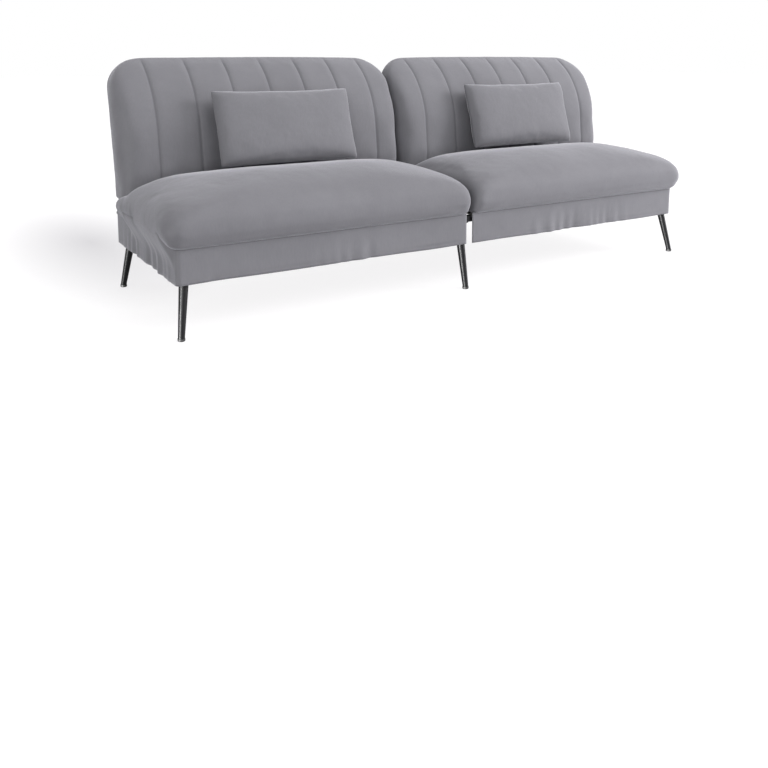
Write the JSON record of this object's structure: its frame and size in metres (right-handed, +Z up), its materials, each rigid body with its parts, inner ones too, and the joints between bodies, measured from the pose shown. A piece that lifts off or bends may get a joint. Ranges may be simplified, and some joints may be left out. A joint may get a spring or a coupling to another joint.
{
  "type": "folding sofa bed",
  "caption": "Armless sofa bed with two wide velvet seats, channelled backs that recline flat, a cloth skirt and splayed black legs.",
  "frame": {"origin": "on the floor, under the middle of the box round the whole sofa", "axes": "+X along the sofa to its right end as seen by someone in front of it, +Y to the back, +Z up"},
  "size_m": [2.12, 0.7118, 0.7973],
  "materials": {
    "grey_velvet": "mid grey short-pile velvet",
    "lining_cloth": "black woven lining over a board",
    "deck_board": "board covered in dark cloth",
    "black_steel": "gloss black powder coat",
    "zinc_steel": "zinc plated",
    "black_plastic": "moulded",
    "black_rubber": "moulded"
  },
  "bodies": {
    "base": {"front_rail": "black_steel", "rear_rail": "black_steel", "end_rails": "black_steel", "cross_rails": "black_steel", "front_left_leg": "black_steel", "front_middle_leg": "black_steel", "front_right_leg": "black_steel", "rear_left_leg": "black_steel", "rear_middle_leg": "black_steel", "rear_right_leg": "black_steel", "leg_plates": "black_steel", "leg_screws": "zinc_steel", "foot_glides": "black_plastic", "left_deck": "deck_board", "left_skirt": "grey_velvet", "left_seat_cushion": "grey_velvet", "left_hinge_brackets": "black_steel", "left_hinge_pins": "zinc_steel", "left_hinge_pawls": "black_steel", "left_pawl_pins": "zinc_steel", "left_hinge_screws": "zinc_steel", "right_deck": "deck_board", "right_skirt": "grey_velvet", "right_seat_cushion": "grey_velvet", "right_hinge_brackets": "black_steel", "right_hinge_pins": "zinc_steel", "right_hinge_pawls": "black_steel", "right_pawl_pins": "zinc_steel", "right_hinge_screws": "zinc_steel"},
    "left_back": {"left_back_cushion": "grey_velvet", "left_back_uprights": "black_steel", "left_back_crossbars": "black_steel", "left_back_panel": "lining_cloth", "left_panel_screws": "zinc_steel", "left_hinge_arms": "black_steel", "left_arm_bolts": "zinc_steel", "left_support_brackets": "black_steel", "left_bracket_screws": "zinc_steel", "left_support_pins": "zinc_steel"},
    "left_support": {"left_support_legs": "black_steel", "left_support_bar": "black_steel", "left_support_feet": "black_rubber"},
    "left_pillow_body": {"left_pillow": "grey_velvet"},
    "right_back": {"right_back_cushion": "grey_velvet", "right_back_uprights": "black_steel", "right_back_crossbars": "black_steel", "right_back_panel": "lining_cloth", "right_panel_screws": "zinc_steel", "right_hinge_arms": "black_steel", "right_arm_bolts": "zinc_steel", "right_support_brackets": "black_steel", "right_bracket_screws": "zinc_steel", "right_support_pins": "zinc_steel"},
    "right_support": {"right_support_legs": "black_steel", "right_support_bar": "black_steel", "right_support_feet": "black_rubber"},
    "right_pillow_body": {"right_pillow": "grey_velvet"}
  },
  "joints": [
    {"name": "left_recline", "type": "hinge", "parent": "base", "child": "left_back", "pos_m": [-0.5315, 0.19808, 0.35], "axis": [-1, 0, 0], "range_deg": [0, 84]},
    {"name": "left_support_swing", "type": "hinge", "parent": "left_back", "child": "left_support", "pos_m": [-0.5315, 0.3286, 0.67815], "axis": [-1, 0, 0], "range_deg": [-84, 0]},
    {"name": "left_pillow_lift", "type": "slide", "parent": "left_back", "child": "left_pillow_body", "axis": [0, -0.5, 0.866], "range_m": [0, 0.35]},
    {"name": "right_recline", "type": "hinge", "parent": "base", "child": "right_back", "pos_m": [0.5315, 0.19808, 0.35], "axis": [-1, 0, 0], "range_deg": [0, 84]},
    {"name": "right_support_swing", "type": "hinge", "parent": "right_back", "child": "right_support", "pos_m": [0.5315, 0.3286, 0.67815], "axis": [-1, 0, 0], "range_deg": [-84, 0]},
    {"name": "right_pillow_lift", "type": "slide", "parent": "right_back", "child": "right_pillow_body", "axis": [0, -0.5, 0.866], "range_m": [0, 0.35]}
  ],
  "couplings": [
    {"joint": "left_support_swing", "follows": "left_recline", "ratio": -1},
    {"joint": "right_support_swing", "follows": "right_recline", "ratio": -1}
  ]
}
